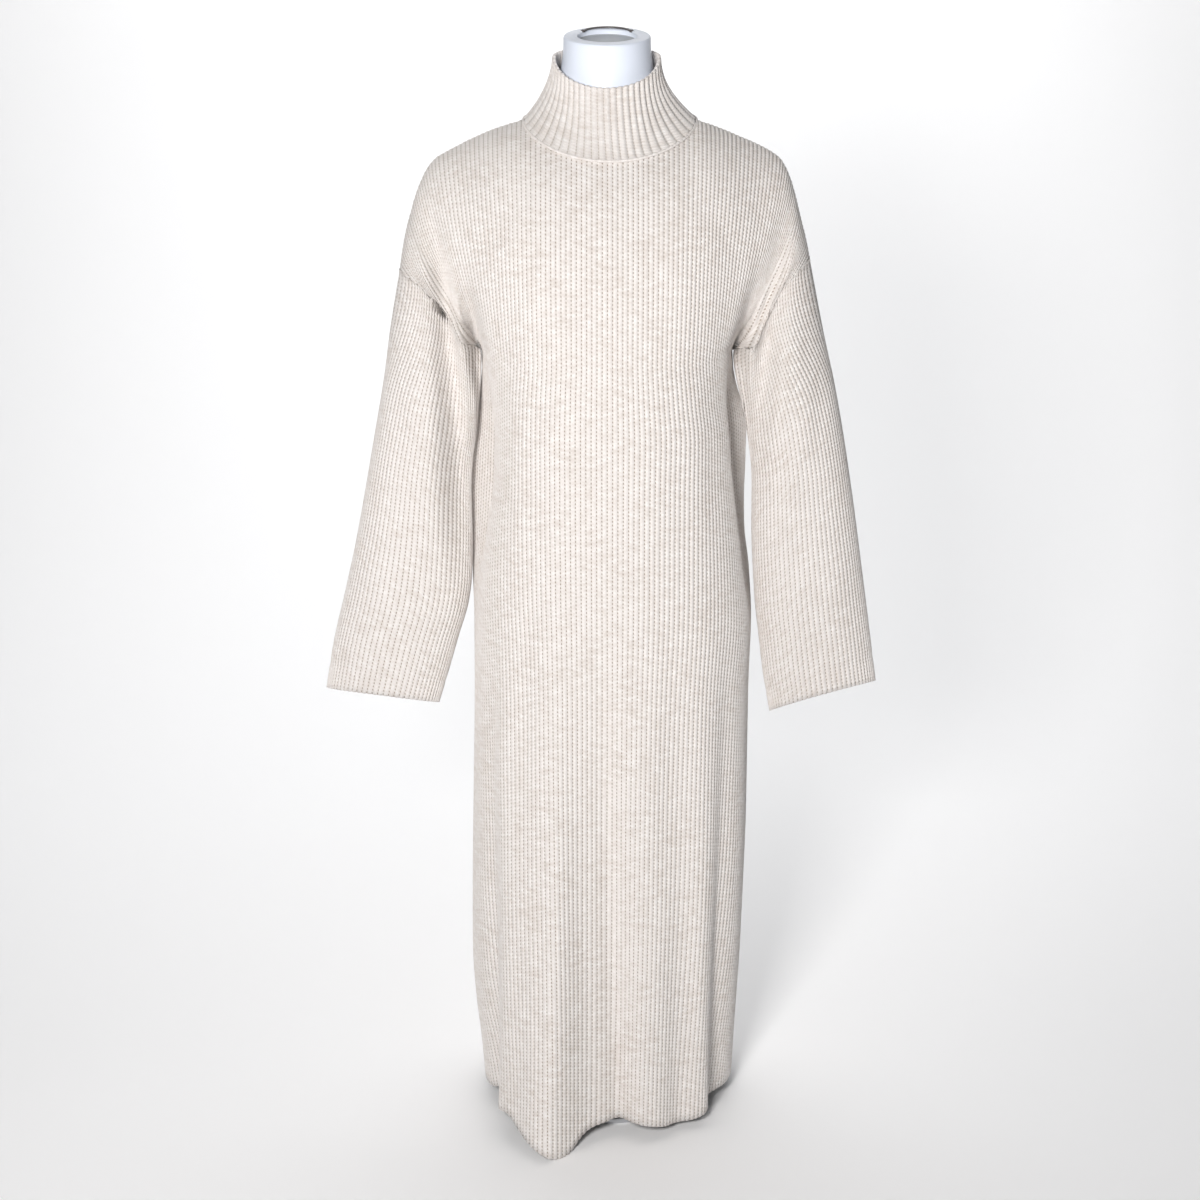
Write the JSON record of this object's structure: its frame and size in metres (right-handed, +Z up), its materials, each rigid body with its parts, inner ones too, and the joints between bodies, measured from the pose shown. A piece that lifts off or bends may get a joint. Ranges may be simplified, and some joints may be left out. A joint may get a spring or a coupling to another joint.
{
  "type": "sweater dress on a dress form",
  "caption": "Ribbed funnel-neck sweater dress with dropped shoulders and wide sleeves, worn by a limbless dress form on a pole and a round base.",
  "frame": {"origin": "centre of the base's underside, on the floor under the pole", "axes": "+Z up along the pole, +X to the viewer's right, -Y to the viewer, so the front of the dress faces -Y"},
  "size_m": [0.625, 0.3298, 1.2311],
  "materials": {
    "knit": "soft heathered rib knit, slightly fuzzy, matte",
    "form_shell": "smooth white shell, satin",
    "dark_strap": "dark matte bar and rivets",
    "stand_steel": "brushed steel"
  },
  "bodies": {
    "root": {"dress_front": "knit", "dress_back": "knit", "sleeve_left": "knit", "sleeve_right": "knit", "collar": "knit", "neck_seam": "knit", "form_body": "form_shell", "form_handle": "dark_strap", "rivet_left": "dark_strap", "rivet_right": "dark_strap", "form_pole": "stand_steel", "form_base": "stand_steel"}
  },
  "joints": []
}
